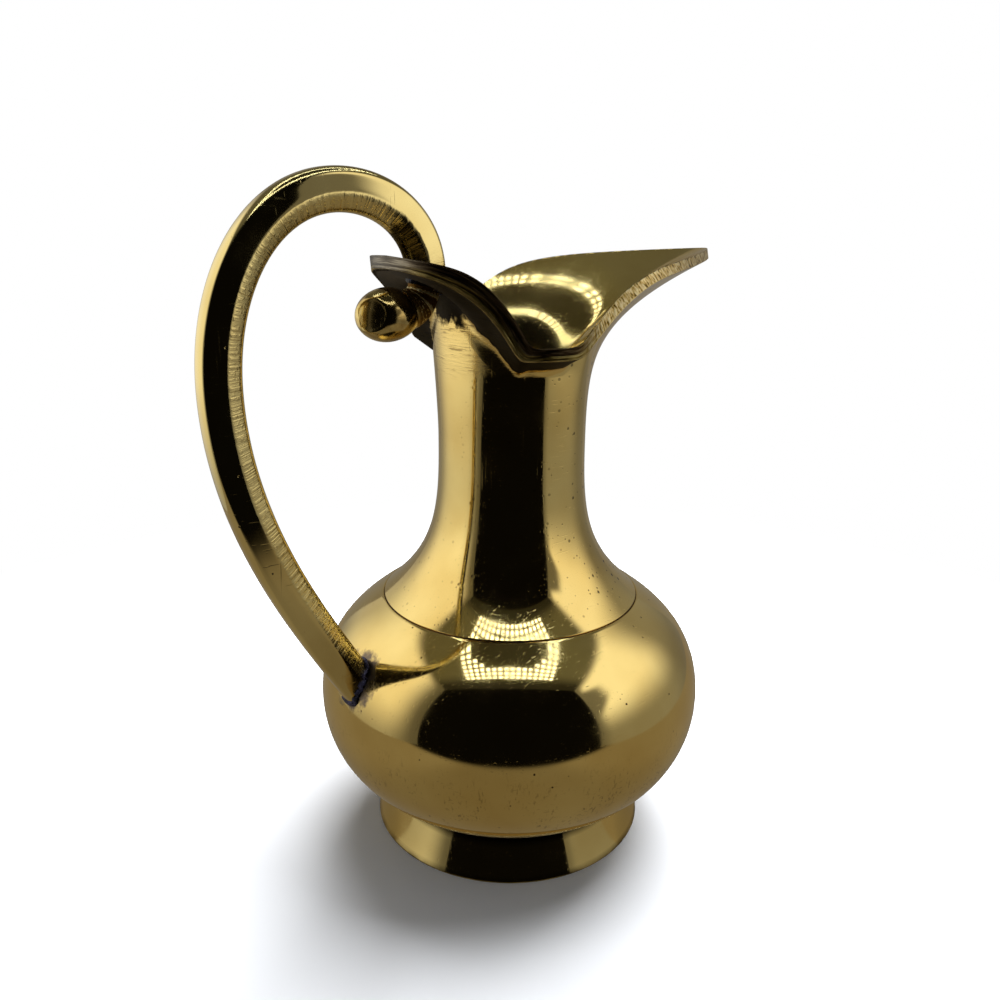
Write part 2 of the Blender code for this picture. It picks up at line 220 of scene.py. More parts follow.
foot_patches = add_node(foot_tree, "MapRange", foot_patches, 0.3, 0.7, 0.35, 0.9)
lower_edge_darkening = add_node(foot_tree, "Math", lower_edge_darkening, foot_patches, operation="MULTIPLY")
# Painted shade: the top of the ring, in the corner under the bowl, is darkened as if shade fell there.
painted_corner_shade = add_node(foot_tree, "MapRange", foot_z, 7.2 * MM, 8.8 * MM, 0.0, 0.95)
stain(foot_brass, add_node(foot_tree, "Math", lower_edge_darkening, painted_corner_shade, operation="MAXIMUM"), "#2A1C0A")
foot = new_piece("foot", foot_shape, finish_brass(foot_brass, 0.02 * MM))
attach(foot, "root")
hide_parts("foot_ring")


# Bowl: raised from brass sheet, closed below and open at the shoulder, polished all over.
# Its belly is scuffed low down, where it has been rubbed along shelves, and painted dark above the foot as
# shade.
# A torch has stained it round the place where the handle is brazed on.
bowl_low, bowl_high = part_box("belly_bowl")
belly_radius = 0.5 * (bowl_high.y - bowl_low.y)
bowl_bottom = bowl_low.z
belly_height = 35.8 * MM
seam = (31.0 * MM, 60.9 * MM)
seam_gap = 0.17 * MM
joint_height = 49.0 * MM
scuff_strength = 0.45
shoulder_way = pi - radians(35.0)
wall = 2.4 * MM
shoulder_rise = seam[1] - belly_height


def along(point, distance, way):
    """A (radius, height) point moved some way; the way is an angle, 0 outwards and a quarter turn up."""
    return (point[0] + distance * cos(way), point[1] + distance * sin(way))


def offset(line, first_distance, last_distance):
    """A line moved sideways, to the right of its running direction, evenly from one distance to another."""
    moved = []
    for index, point in enumerate(line):
        distance = first_distance + (last_distance - first_distance) * index / (len(line) - 1)
        before = line[max(index - 1, 0)]
        after = line[min(index + 1, len(line) - 1)]
        way = atan2(after[1] - before[1], after[0] - before[0])
        moved.append(along(point, distance, way - 0.5 * pi))
    return moved


def line_at(line, known, value):
    """Where one coordinate of a line (0 radius, 1 height) first rises to a value, its other coordinate."""
    for first, second in zip(line, line[1:]):
        if first[known] <= value <= second[known] and first[known] < second[known]:
            share = (value - first[known]) / (second[known] - first[known])
            return first[1 - known] + share * (second[1 - known] - first[1 - known])
    return line[-1][1 - known]


def pits(tree, place, spacing, width, share):
    """A mask of round specks of one width, in a share of the cells of one spacing."""
    distance = add_node(tree, "TexVoronoi", place, 1.0 / spacing, feature="F1")
    speck = add_node(tree, "MapRange", distance, 0.25 * width / spacing, 0.5 * width / spacing, 1.0, 0.0)
    draw = add_node(tree, "SeparateColor", distance.node.outputs["Color"], out="Red")
    chosen = add_node(tree, "Math", draw, 1.0 - share, operation="GREATER_THAN")
    return add_node(tree, "Math", speck, chosen, operation="MULTIPLY")


bowl_line = curve(
    (0.0, bowl_bottom),
    (0.65 * belly_radius, bowl_bottom),
    (belly_radius, belly_height - 0.58 * (belly_height - bowl_bottom)),
    (belly_radius, belly_height),
    44,
) + curve(
    (belly_radius, belly_height),
    (belly_radius, belly_height + 0.578 * shoulder_rise),
    along(seam, -0.31 * shoulder_rise, shoulder_way),
    along(seam, -seam_gap, shoulder_way),
    36,
)[1:]
bowl_inside = offset(bowl_line, -wall, -wall)
bowl_inside[0] = (0.0, bowl_bottom + wall)
bowl_shape = turned(bowl_inside + list(reversed(bowl_line)), closed=False)
wear_edges(bowl_shape, 0.15 * MM, 40.0)
joint_x = -line_at(bowl_line, 1, joint_height)

bowl_brass = polished_brass("Mirror-polished brass, raised bowl")
bowl_tree = bowl_brass["tree"]
bowl_place = bowl_brass["place"]
bowl_z = add_node(bowl_tree, "SeparateXYZ", bowl_place, out="Z")
level_strokes = grain(
    bowl_tree, bowl_place, 0.5 * MM, detail=3.0, stretch=(3.0, 3.0, 0.8), turn=(0.5, 0.6, 0.0)
)
upright_strokes = grain(
    bowl_tree, bowl_place, 0.6 * MM, detail=3.0, stretch=(0.9, 0.9, 3.0), turn=(0.7, -0.5, 0.0)
)
level_strokes = add_node(bowl_tree, "MapRange", level_strokes, 0.62, 0.72)
upright_strokes = add_node(bowl_tree, "MapRange", upright_strokes, 0.58, 0.68)
scuffs = add_node(bowl_tree, "Math", level_strokes, upright_strokes, operation="MAXIMUM")
scuff_patches = grain(bowl_tree, bowl_place, 7.0 * MM, detail=3.0)
for scuff_limit in (
    add_node(bowl_tree, "MapRange", scuff_patches, 0.46, 0.56),
    add_node(bowl_tree, "MapRange", bowl_z, 11.0 * MM, 15.0 * MM),
    add_node(bowl_tree, "MapRange", bowl_z, 40.0 * MM, 29.0 * MM),
    scuff_strength,
):
    scuffs = add_node(bowl_tree, "Math", scuffs, scuff_limit, operation="MULTIPLY")
bowl_specks = pits(bowl_tree, bowl_place, 3.6 * MM, 0.6 * MM, 0.5)
bowl_marks = add_node(bowl_tree, "Math", scuffs, bowl_specks, operation="MAXIMUM")
stain(bowl_brass, bowl_marks, "#4E3814")
bowl_brass["height"] = add_node(bowl_tree, "Math", bowl_brass["height"], bowl_marks, operation="SUBTRACT")
# Painted shade: a dark, dull, less metallic band just above the foot, where the corner between bowl and foot
# lies in shade.
painted_joint_shade = add_node(bowl_tree, "MapRange", bowl_z, 18.3 * MM, 15.8 * MM, 0.0, 0.92)
stain(bowl_brass, painted_joint_shade, "#2E200C")
metal_outside_shade = add_node(bowl_tree, "Math", 1.0, painted_joint_shade, operation="SUBTRACT")
bowl_tree.links.new(metal_outside_shade, bowl_brass["shader"].inputs["Metallic"])
bowl_joint = (vessel_x + joint_x, 0.0, joint_height)
from_joint = add_node(bowl_tree, "VectorMath", bowl_place, bowl_joint, operation="DISTANCE")
stain_edge = grain(bowl_tree, bowl_place, 2.2 * MM, detail=4.0)
stain_edge = add_node(bowl_tree, "MapRange", stain_edge, 0.3, 0.7, -1.6 * MM, 1.6 * MM)
from_joint = add_node(bowl_tree, "Math", from_joint, stain_edge, operation="ADD")
torch_stain = add_node(bowl_tree, "MapRange", from_joint, 7.4 * MM, 5.4 * MM)
stain(bowl_brass, add_node(bowl_tree, "Math", torch_stain, 0.8, operation="MULTIPLY"), "#4C4656")
roughen(bowl_brass, torch_stain, 0.3)
roughen(bowl_brass, painted_joint_shade, 0.8)
bowl = new_piece("bowl", bowl_shape, finish_brass(bowl_brass, 0.03 * MM))
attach(bowl, "root")
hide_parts("belly_bowl")


# Braze under the bowl: a fillet of spelter run into the corner inside the foot.
# It is never polished, so it keeps a brown-black skin from the torch.
fillet_outer = foot_bore + 0.4 * MM
fillet_width = 3.4 * MM
fillet_bite = 0.1 * MM
fillet_sag = 0.8 * MM


def torched_braze(name, skin, bloom):
    """Braze metal as the torch left it: lumpy, dull and dark, with a blue and violet oxide bloom."""
    material = bpy.data.materials.new(name)
    material.use_nodes = True
    tree = material.node_tree
    shader = tree.nodes["Principled BSDF"]
    shader.inputs["Metallic"].default_value = 0.75
    place = add_node(tree, "TexCoord", out="Object")
    patches = add_node(tree, "MapRange", grain(tree, place, 2.4 * MM, detail=4.0), 0.38, 0.62)
    rough = add_node(tree, "MapRange", grain(tree, place, 1.2 * MM, detail=3.0), 0.35, 0.7, 0.3, 0.6)
    lumps = grain(tree, place, 0.9 * MM, detail=3.0)
    tree.links.new(add_node(tree, "Mix", patches, skin, bloom, data_type="RGBA"), shader.inputs["Base Color"])
    tree.links.new(rough, shader.inputs["Roughness"])
    tree.links.new(add_node(tree, "Bump", None, 0.25 * MM, None, lumps), shader.inputs["Normal"])
    return material


fillet_line = [
    (radius, line_at(bowl_line, 0, radius) + rise)
    for radius, rise in (
        (fillet_outer, -0.75 * fillet_width),
        (fillet_outer - 0.35 * fillet_width, -fillet_sag),
        (fillet_outer - fillet_width, fillet_bite),
        (fillet_outer, fillet_bite),
    )
]
fillet_shape = turned(fillet_line, closed=True)
wear_edges(fillet_shape, 0.2 * MM, 30.0)
foot_braze = new_piece("foot_braze", fillet_shape, torched_braze("Torched braze, foot", "#3A2A18", "#6B4F26"))
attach(foot_braze, "root")
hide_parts("foot_seam_braze")


# Neck and mouth: one cast and filed piece, polished outside and in, flared to a leaf-shaped mouth.
# The mouth is cut to a long spout, a short rear lobe and a dip on either side, and its edge is left filed.
# Under the lobe, where the handle is brazed on, the torch has left it black.
neck_radius = 17.25 * MM
neck_height = 100.0 * MM
neck_way = pi - radians(40.0)
rim_height = 137.6 * MM
spout_reach = 63.4 * MM
spout_spread = 28.0
spout_slope = 12.0
tip_round = 1.5
tip_rise = 0.8 * MM
side_radius = 23.5 * MM
side_slope = 42.0
dip_depth = 17.0 * MM
dip_bearing = 110.0
dip_front_spread = 36.6
dip_rear_spread = 26.6
dip_softness = 20.0
lobe_reach = 32.6 * MM
lobe_spread = 42.0
lobe_rise = 1.2 * MM
lip_drop = 3.0 * MM
corner_out = 0.7 * MM
rear_wall = wall + 0.1 * MM
edge_radius = 30.0 * MM
edge_lead = 5.0
oxide_rows = 15
inner_oxide = 0.12
neck_columns = 288
neck_rise = neck_height - seam[1]


def smooth(value, low, high):
    """A soft step from 0 at one value to 1 at another, which may be the smaller one."""
    share = max(0.0, min(1.0, (value - low) / (high - low)))
    return share * share * (3.0 - 2.0 * share)


def between(first, second, share):
    """The point at a share of the way from one point to another."""
    return tuple(start + share * (end - start) for start, end in zip(first, second))


def dip_share(bearing):
    """1 along the flat bottom of the side dips, falling to 0 at the spout and at the lobe."""
    away = abs(abs(bearing) - dip_bearing)
    in_front = abs(bearing) < dip_bearing
    fade = (away / dip_front_spread) ** 1.5 if in_front else (away / dip_rear_spread) ** 1.75
    full_dip = 1.41 * exp(-fade)
    return -log(exp(-dip_softness * full_dip) + exp(-dip_softness)) / dip_softness


def rim_point(bearing):
    """Radius and height of the mouth's outer edge at a bearing from the spout, in degrees."""
    spout = exp(-(hypot(bearing, tip_round) - tip_round) / spout_spread)
    lobe = exp(-(((180.0 - abs(bearing)) / lobe_spread) ** 3.4))
    radius = side_radius + (spout_reach - side_radius) * spout + (lobe_reach - side_radius) * lobe
    height = rim_height - dip_depth * dip_share(bearing) + tip_rise * spout * spout + lobe_rise * lobe
    return radius, height


lower_neck = curve(
    along(seam, seam_gap, shoulder_way),
    along(seam, 0.45 * neck_rise, neck_way),
    (neck_radius, neck_height - 0.43 * neck_rise),
    (neck_radius, neck_height),
    34,
)
lower_neck.insert(1, along(lower_neck[0], 0.12 * MM, neck_way))


def lip_fall(bearing):
    """How far the lip rises from its corner on the neck to the rim: steeply behind the dips."""
    radius, height = rim_point(bearing)
    if bearing > dip_bearing:
        slope = 25.0 + 16.0 * smooth(bearing, 116.0, 134.0) - 18.0 * smooth(bearing, 142.0, 176.0)
        return (radius - neck_radius - corner_out) * tan(radians(slope))
    climb = rim_point(bearing + 2.0)[1] - rim_point(bearing - 2.0)[1] if bearing < dip_bearing else 0.0
    steepness = min(2.3, hypot(1.0, climb / (radians(4.0) * side_radius)))
    return min(steepness * lip_drop, height - (rim_height - dip_depth - lip_drop))


def neck_line(bearing):
    """Outer line of the neck and mouth at one bearing, from the seam up to the rim: an easy flare
    to the spout, and a straight neck with a tight corner and a sloping lip from the dips backwards."""
    rim = rim_point(bearing)
    base = (neck_radius, neck_height)
    slope = radians(side_slope + (spout_slope - side_slope) * exp(-abs(bearing) / 30.0))
    reach = min(0.4 * hypot(rim[0] - base[0], rim[1] - base[1]), 0.9 * (rim[0] - base[0]) / cos(slope))
    flare = curve(base, (base[0], base[1] + 0.58 * (rim[1] - base[1])), along(rim, -reach, slope), rim, 36)
    rearward = smooth(bearing, 116.0, 134.0)
    corner = (neck_radius + corner_out, rim[1] - lip_fall(bearing))
    root = (neck_radius + (0.4 + 0.6 * rearward) * MM, corner[1] - (1.6 + 3.6 * rearward) * MM)
    lip_start = between(corner, rim, 0.2 + 0.1 * rearward)
    straight = curve(base, (base[0], base[1] + 5.0 * MM), root, root, 18)
    fillet = curve(root, corner, corner, lip_start, 10)
    lip = curve(lip_start, lip_start, rim, rim, 10)
    tight = smooth(bearing, 66.0, 92.0)
    hard_line = straight + fillet[1:] + lip[1:]
    line = [between(soft, hard, tight) for soft, hard in zip(flare, hard_line)]
    rim_way = atan2(line[-1][1] - line[-3][1], line[-1][0] - line[-3][0])
    return lower_neck + line[1:-1] + [along(line[-1], -0.4 * MM, rim_way), line[-1]]


def neck_section(bearing):
    """The whole wall at one bearing: up the outside, over the filed edge and down the inside."""
    outer = neck_line(bearing)
    behind = smooth(bearing, 60.0, 110.0)
    inner = offset(outer, -wall, -wall - (rear_wall - wall) * behind)
    rim_way = atan2(outer[-1][1] - outer[-2][1], outer[-1][0] - outer[-2][0])
    inner.append(along(inner[-1], behind * rear_wall * tan(rim_way), rim_way))
    edge = [between(outer[-1], inner[-1], share) for share in (0.08, 0.3, 0.5, 0.7, 0.92)]
    return outer + edge + list(reversed(inner))


def wrapped_grid(columns, rows, place, closed_rows, marks):
    """A grid bent into a closed skin; its places and its painted marks follow from (column share, row)."""
    shape = bmesh.new()
    bmesh.ops.create_grid(shape, x_segments=columns, y_segments=rows - 1, size=0.5)
    layers = {name: shape.verts.layers.float.new(name) for name in marks}
    for vert in shape.verts:
        share = vert.co.x + 0.5
        row = round((vert.co.y + 0.5) * (rows - 1))
        vert.co = place(share, row)
        for name, value_at in marks.items():
            vert[layers[name]] = value_at(share, row)
    bmesh.ops.remove_doubles(shape, verts=shape.verts, dist=0.0005 * MM)
    open_edges = [edge for edge in shape.edges if edge.is_boundary]
    if closed_rows:
        bmesh.ops.bridge_loops(shape, edges=open_edges)
    else:
        bmesh.ops.holes_fill(shape, edges=open_edges, sides=0)
    bmesh.ops.recalc_face_normals(shape, faces=shape.faces)
    return shape


outer_rows = len(neck_line(0.0))
neck_rows = len(neck_section(0.0))
rim_row = outer_rows - 1
inner_start = outer_rows + 5
edge_steps = inner_start - rim_row
section_at = {}


def bearing_at(share):
    """The bearing of a column of the neck's skin; columns crowd together towards the spout's tip."""
    swing = 2.0 * share - 1.0
    return copysign(round(180.0 * abs(swing) ** 1.3, 6), swing)


def neck_corner(share, row):
    """Radius and height of a corner of the neck's skin."""
    bearing = abs(bearing_at(share))
    if bearing not in section_at:
        section_at[bearing] = neck_section(bearing)
    return section_at[bearing][row]


def neck_place(share, row):
    """A corner's place; beside the dips the mouth's inner edge is filed ahead of its outer one."""
    radius, height = neck_corner(share, row)
    bearing = bearing_at(share)
    beside = smooth(abs(bearing), 106.0, 126.0) * smooth(abs(bearing), 172.0, 150.0)
    inwards = smooth(row, rim_row, inner_start) * smooth(row, inner_start + 26, inner_start + 8)
    turn = radians(bearing - copysign(edge_lead * beside * inwards, bearing))
    return Vector((vessel_x + radius * cos(turn), radius * sin(turn), height))


def below_rim(share, row):
    """How far a corner lies from the mouth's outer edge."""
    radius, height = neck_corner(share, row)
    rim = rim_point(bearing_at(share))
    return hypot(rim[0] - radius, rim[1] - height)


def off_spout(share, start, end):
    """A soft step over a column's bearing from the spout."""
    return smooth(abs(bearing_at(share)), start, end)


def oxide_share(share, row):
    """1 where torch and file left the mouth dark: under its rear edge, and round the handle's shank."""
    band_start = outer_rows - oxide_rows - 1.5 * off_spout(share, 122.0, 134.0)
    band = smooth(row, band_start, band_start + 4.0) * off_spout(share, 72.0, 98.0)
    near_shank = off_spout(share, 152.0, 170.0) * smooth(below_rim(share, row), 21.0 * MM, 16.0 * MM)
    return max(band, near_shank) * (1.0 if row < outer_rows else inner_oxide)


def file_share(share, row):
    """1 on the filed outside of the neck, just under the rear lip."""
    high = smooth(neck_corner(share, row)[1], 115.9 * MM, 117.3 * MM)
    return off_spout(share, 96.0, 114.0) * high * (1.0 if row < outer_rows else 0.0)


neck_marks = {
    "inside": lambda share, row: 1.0 if row >= inner_start else 0.0,
    "along_edge": lambda share, row: radians(abs(bearing_at(share))) * edge_radius,
    "across_edge": lambda share, row: max(0, min(row - rim_row, edge_steps)) / edge_steps * rear_wall,
    "filed_edge": lambda share, row: 1.0 if rim_row <= row <= inner_start else 0.0,
    "worn_ridge": lambda share, row: 1.0 if row == rim_row else 0.0,
    "rear_side": lambda share, row: off_spout(share, 74.0, 98.0),
    "rim_oxide": oxide_share,
    "tip_side": lambda share, row: off_spout(share, 158.0, 174.0),
    "bare_tip": lambda share, row: off_spout(share, 152.0, 170.0)
    * smooth(below_rim(share, row), 9.0 * MM, 5.0 * MM),
    "file_zone": file_share,
}
neck_shape = wrapped_grid(neck_columns, neck_rows, neck_place, True, neck_marks)


def shaded(tree, factor, stops):
    """Colours that run into one another over a factor, with their stops given as (position, hex colour)."""
    colour = stops[0][1]
    for (low, _), (high, next_colour) in zip(stops, stops[1:]):
        step = add_node(tree, "MapRange", factor, low, high)
        colour = add_node(tree, "Mix", step, colour, next_colour, data_type="RGBA")
    return colour


neck_brass = polished_brass("Mirror-polished brass, filed mouth")
neck_tree = neck_brass["tree"]
neck_spot = neck_brass["place"]
neck_mark = {name: add_node(neck_tree, "Attribute", out="Fac", attribute_name=name) for name in neck_marks}
neck_x = add_node(neck_tree, "SeparateXYZ", neck_spot, out="X")
neck_pits = add_node(
    neck_tree,
    "Math",
    pits(neck_tree, neck_spot, 2.6 * MM, 1.0 * MM, 0.45),
    pits(neck_tree, neck_spot, 1.6 * MM, 0.5 * MM, 0.5),
    operation="MAXIMUM",
)
for pit_limit in (
    add_node(neck_tree, "MapRange", neck_x, vessel_x - 6.0 * MM, vessel_x + 10.0 * MM, 0.25, 1.0),
    add_node(neck_tree, "MapRange", neck_mark["inside"], 0.0, 0.5, 1.0, 0.0),
):
    neck_pits = add_node(neck_tree, "Math", neck_pits, pit_limit, operation="MULTIPLY")
file_lines = grain(neck_tree, neck_spot, 0.6 * MM, detail=3.0, stretch=(9.0, 9.0, 0.8), rough=0.6)
file_marks = add_node(neck_tree, "MapRange", file_lines, 0.58, 0.68, 0.0, 0.6)
file_marks = add_node(neck_tree, "Math", file_marks, neck_mark["file_zone"], operation="MULTIPLY")
file_waves = add_node(neck_tree, "Math", file_lines, 1.8, operation="MULTIPLY")
file_waves = add_node(neck_tree, "Math", file_waves, neck_mark["file_zone"], operation="MULTIPLY")
edge_spot = add_node(neck_tree, "CombineXYZ", neck_mark["along_edge"], neck_mark["across_edge"])
cross_marks = grain(neck_tree, edge_spot, 0.5 * MM, detail=3.0, stretch=(1.0, 3.0, 1.0), rough=0.6)
long_marks = grain(neck_tree, edge_spot, 0.35 * MM, detail=3.0, stretch=(22.0, 1.0, 1.0), rough=0.6)
edge_grain = add_node(neck_tree, "Mix", neck_mark["rear_side"], cross_marks, long_marks, data_type="FLOAT")
bright_grain = add_node(neck_tree, "MapRange", edge_grain, 0.36, 0.6)
spout_edge = shaded(neck_tree, bright_grain, [(0.0, "#4A3414"), (0.35, "#C8A558"), (1.0, "#F4E2AE")])
worn_edge = shaded(neck_tree, bright_grain, [(0.0, "#2E2412"), (0.45, "#7A6832"), (1.0, "#B8A668")])
dark_edge = shaded(neck_tree, bright_grain, [(0.0, "#1A120B"), (0.5, "#382A1A"), (1.0, "#5C4E38")])
tip_edge = shaded(neck_tree, bright_grain, [(0.0, "#38322A"), (0.5, "#5E564A"), (1.0, "#8A8272")])
edge_half = add_node(neck_tree, "MapRange", neck_mark["across_edge"], 0.35 * rear_wall, 0.5 * rear_wall)
rear_edge = add_node(neck_tree, "Mix", edge_half, worn_edge, dark_edge, data_type="RGBA")
rear_edge = add_node(neck_tree, "Mix", neck_mark["tip_side"], rear_edge, tip_edge, data_type="RGBA")
edge_colour = add_node(neck_tree, "Mix", neck_mark["rear_side"], spout_edge, rear_edge, data_type="RGBA")
oxide_colour = shaded(
    neck_tree,
    grain(neck_tree, neck_spot, 3.0 * MM, detail=4.0),
    [(0.3, "#070504"), (0.5, "#150E08"), (0.62, "#121014"), (0.75, "#2C1E10")],
)
oxide_colour = add_node(neck_tree, "Mix", neck_mark["bare_tip"], oxide_colour, "#544E48", data_type="RGBA")
oxide_edge = grain(neck_tree, neck_spot, 2.0 * MM, detail=5.0)
oxide_edge = add_node(neck_tree, "MapRange", oxide_edge, 0.3, 0.7, -0.3, 0.3)
oxide = add_node(neck_tree, "Math", neck_mark["rim_oxide"], oxide_edge, operation="ADD")
oxide = add_node(neck_tree, "MapRange", oxide, 0.35, 0.65)
ridge_wear = add_node(neck_tree, "MapRange", edge_grain, 0.35, 0.55, 0.25, 0.85)
for ridge_limit in (
    neck_mark["worn_ridge"],
    add_node(neck_tree, "MapRange", neck_mark["tip_side"], 0.0, 1.0, 1.0, 0.25),
):
    ridge_wear = add_node(neck_tree, "Math", ridge_wear, ridge_limit, operation="MULTIPLY")
stain(neck_brass, file_marks, "#5A4018")
stain(neck_brass, neck_pits, "#2A1B08")
stain(neck_brass, add_node(neck_tree, "Math", oxide, 0.97, operation="MULTIPLY"), oxide_colour)
stain(neck_brass, neck_mark["filed_edge"], edge_colour)
stain(neck_brass, ridge_wear, "#D9C084")
edge_relief = add_node(neck_tree, "Math", edge_grain, 6.0, operation="MULTIPLY")
for relief in (
    add_node(neck_tree, "Math", neck_pits, -0.7, operation="MULTIPLY"),
    file_waves,
    add_node(neck_tree, "Math", edge_relief, neck_mark["filed_edge"], operation="MULTIPLY"),
):
    neck_brass["height"] = add_node(neck_tree, "Math", neck_brass["height"], relief, operation="ADD")
roughen(neck_brass, neck_mark["filed_edge"], 0.22)
roughen(neck_brass, oxide, 0.55)
roughen(neck_brass, neck_mark["file_zone"], 0.1)
roughen(neck_brass, neck_mark["inside"], 0.04)
neck = new_piece("neck", neck_shape, finish_brass(neck_brass, 0.04 * MM))
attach(neck, "root")
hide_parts("neck_and_mouth")


# Shoulder seam: the braze line that joins the neck to the bowl.
# It was cleaned back with the rest of the shoulder, and shows as a fine dark groove.
line_half = 0.8 * seam_gap
line_top = 0.35 * MM
line_foot = line_top + 1.4 * MM
into_wall = shoulder_way + 0.5 * pi
seam_line = [
    along(along(seam, side * line_half, shoulder_way), deep, into_wall)
    for side, deep in ((-1.0, line_foot), (1.0, line_foot), (1.0, line_top), (-1.0, line_top))
]
seam_shape = turned(seam_line, closed=True)
seam_material = torched_braze("Cleaned braze, shoulder", "#2B1D10", "#57401E")
seam_braze = new_piece("seam_braze", seam_shape, seam_material)
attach(seam_braze, "root")
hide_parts("shoulder_seam_braze")


# Handle: a cast brass rod, filed to a rounded rectangle with a broad flat on each side.
# It rises from the bowl, bends over above the rim, passes down through the rear lobe and ends in a knob.
# The inner faces and the shank keep the file's chatter, and the torch has blackened it above the lobe.
# The shank's streaks run paler than the brass, partly a painted highlight on a shank in the lobe's shade.
handle_top = rim_height + 16.4 * MM
handle_reach = 69.3 * MM
handle_waist = 117.5 * MM
knob_radius = 5.6 * MM
knob_length = 14.0 * MM
knob_flat_bearing = radians(-147.0)
knob_flat_depth = 0.5 * MM
shank_radius = 4.3 * MM
shank_start = 0.9 * knob_length
shank_waist = 1.1 * MM
rod_start = shank_start + 4.0 * MM
rod_blend = 6.0 * MM
rod_faces = (
    (0.0, 4.4 * MM),
    (36.0, 4.5 * MM),
    (84.0, 3.0 * MM),
    (114.0, 3.12 * MM),
    (150.0, 4.1 * MM),
    (180.0, 4.3 * MM),
)
rod_softness = 18.0
rod_around = 72
chatter_pitch = 1.1 * MM
trim_depth = 1.5 * MM
trim_below = 70.0 * MM
entry_x = -lobe_reach + 9.0 * MM
knob_x = entry_x - 9.2 * MM
knob_height = rim_height - 8.2 * MM
knob_tip = (knob_x - 0.5 * knob_length, knob_height)
rod_entry = (entry_x, knob_height + 7.8 * MM)
rod_crown = (-0.5 * (handle_reach - entry_x) + 3.5 * MM, handle_top)
rod_waist = (-handle_reach, handle_waist)
rod_end = (joint_x + 5.0 * MM, joint_height - 9.0 * MM)
rod_fall = (0.5, -0.866)
end_reach = 0.32 * (handle_waist - rod_end[1])
rod_stretches = (
    (
        knob_tip,
        (knob_tip[0] + 12.0 * MM, knob_height),
        (entry_x, knob_height + 0.5 * MM),
        rod_entry,
        90,
    ),
    (
        rod_entry,
        (entry_x, rod_entry[1] + 0.56 * (handle_top - rod_entry[1])),
        (rod_crown[0] + 0.56 * (entry_x - rod_crown[0]), handle_top),
        rod_crown,
        40,
    ),
    (
        rod_crown,
        (rod_crown[0] - 0.58 * (handle_reach + rod_crown[0]), handle_top),
        (-handle_reach, handle_waist + 0.57 * (handle_top - handle_waist)),
        rod_waist,
        60,
    ),
    (
        rod_waist,
        (-handle_reach, handle_waist - 0.39 * (handle_waist - rod_end[1])),
        (rod_end[0] - end_reach * rod_fall[0], rod_end[1] - end_reach * rod_fall[1]),
        rod_end,
        80,
    ),
)
rod_path = [knob_tip]
for stretch in rod_stretches:
    rod_path += curve(*stretch)[1:]
rod_distance = [0.0]
for first, second in zip(rod_path, rod_path[1:]):
    rod_distance.append(rod_distance[-1] + hypot(second[0] - first[0], second[1] - first[1]))


def rod_reach(distance, turn):
    """How far the rod's skin is from its centre line: a ball, then a round shank, then the filed section."""
    place = 2.0 * distance / knob_length - 1.0
    ball = knob_radius * sqrt(max(1.0 - place * place, 0.0))
    shank = shank_radius - shank_waist * smooth(distance, 0.8 * knob_length, 1.4 * knob_length)
    if distance < shank_start:
        return max(ball, shank if place > 0.0 else 0.02 * MM)
    closeness = 0.0
    for angle, face_distance in rod_faces:
        for side in (1.0, -1.0):
            lean = max(cos(turn - side * radians(angle)), 0.0)
            closeness += (lean / face_distance) ** rod_softness * (0.5 if angle in (0.0, 180.0) else 1.0)
    filed = closeness ** (-1.0 / rod_softness)
    return shank + (filed - shank) * smooth(distance, rod_start, rod_start + rod_blend)


flat_facing = Vector((cos(knob_flat_bearing), sin(knob_flat_bearing), 0.14)).normalized()
flat_point = Vector((vessel_x + knob_x, 0.0, knob_height)) + (knob_radius - knob_flat_depth) * flat_facing


def rod_point(turn, row):
    """A point on the rod's skin: turn runs round the section, row along the centre line.
    The knob's end has a small worn flat on the near side."""
    x, height = rod_path[row]
    before = rod_path[max(row - 1, 0)]
    after = rod_path[min(row + 1, len(rod_path) - 1)]
    run = Vector((after[0] - before[0], 0.0, after[1] - before[1])).normalized()
    outward = Vector((run.z, 0.0, -run.x))
    reach = rod_reach(rod_distance[row], turn)
    centre = Vector((vessel_x + x, 0.0, height))
    point = centre + reach * cos(turn) * outward + Vector((0.0, reach * sin(turn), 0.0))
    over_flat = (point - flat_point).dot(flat_facing)
    if over_flat > 0.0 and rod_distance[row] < knob_length:
        point -= 0.8 * over_flat * smooth(over_flat, 0.0, knob_flat_depth) * flat_facing
    return point


def past(row, start, end):
    """A soft step over a row's distance from the knob's tip, counted in knob lengths."""
    return smooth(rod_distance[row], start * knob_length, end * knob_length)


def inner_share(share, row):
    """1 on the filed shank and on the faces of the rod that look into the loop, 0 on the rest."""
    angle = degrees(pi - abs(pi - 2.0 * pi * share))
    return past(row, 0.8, 0.95) * (1.0 - past(row, 1.5, 2.0) * (1.0 - smooth(angle, 98.0, 106.0)))


def torch_share(share, row):
    """1 on the inner faces of the rod just above the rear lobe, where the torch blackened them."""
    angle = degrees(pi - abs(pi - 2.0 * pi * share))
    fading = smooth(rod_distance[row], 44.0 * MM, 27.0 * MM)
    return past(row, 1.3, 1.6) * fading * smooth(angle, 84.0, 104.0)


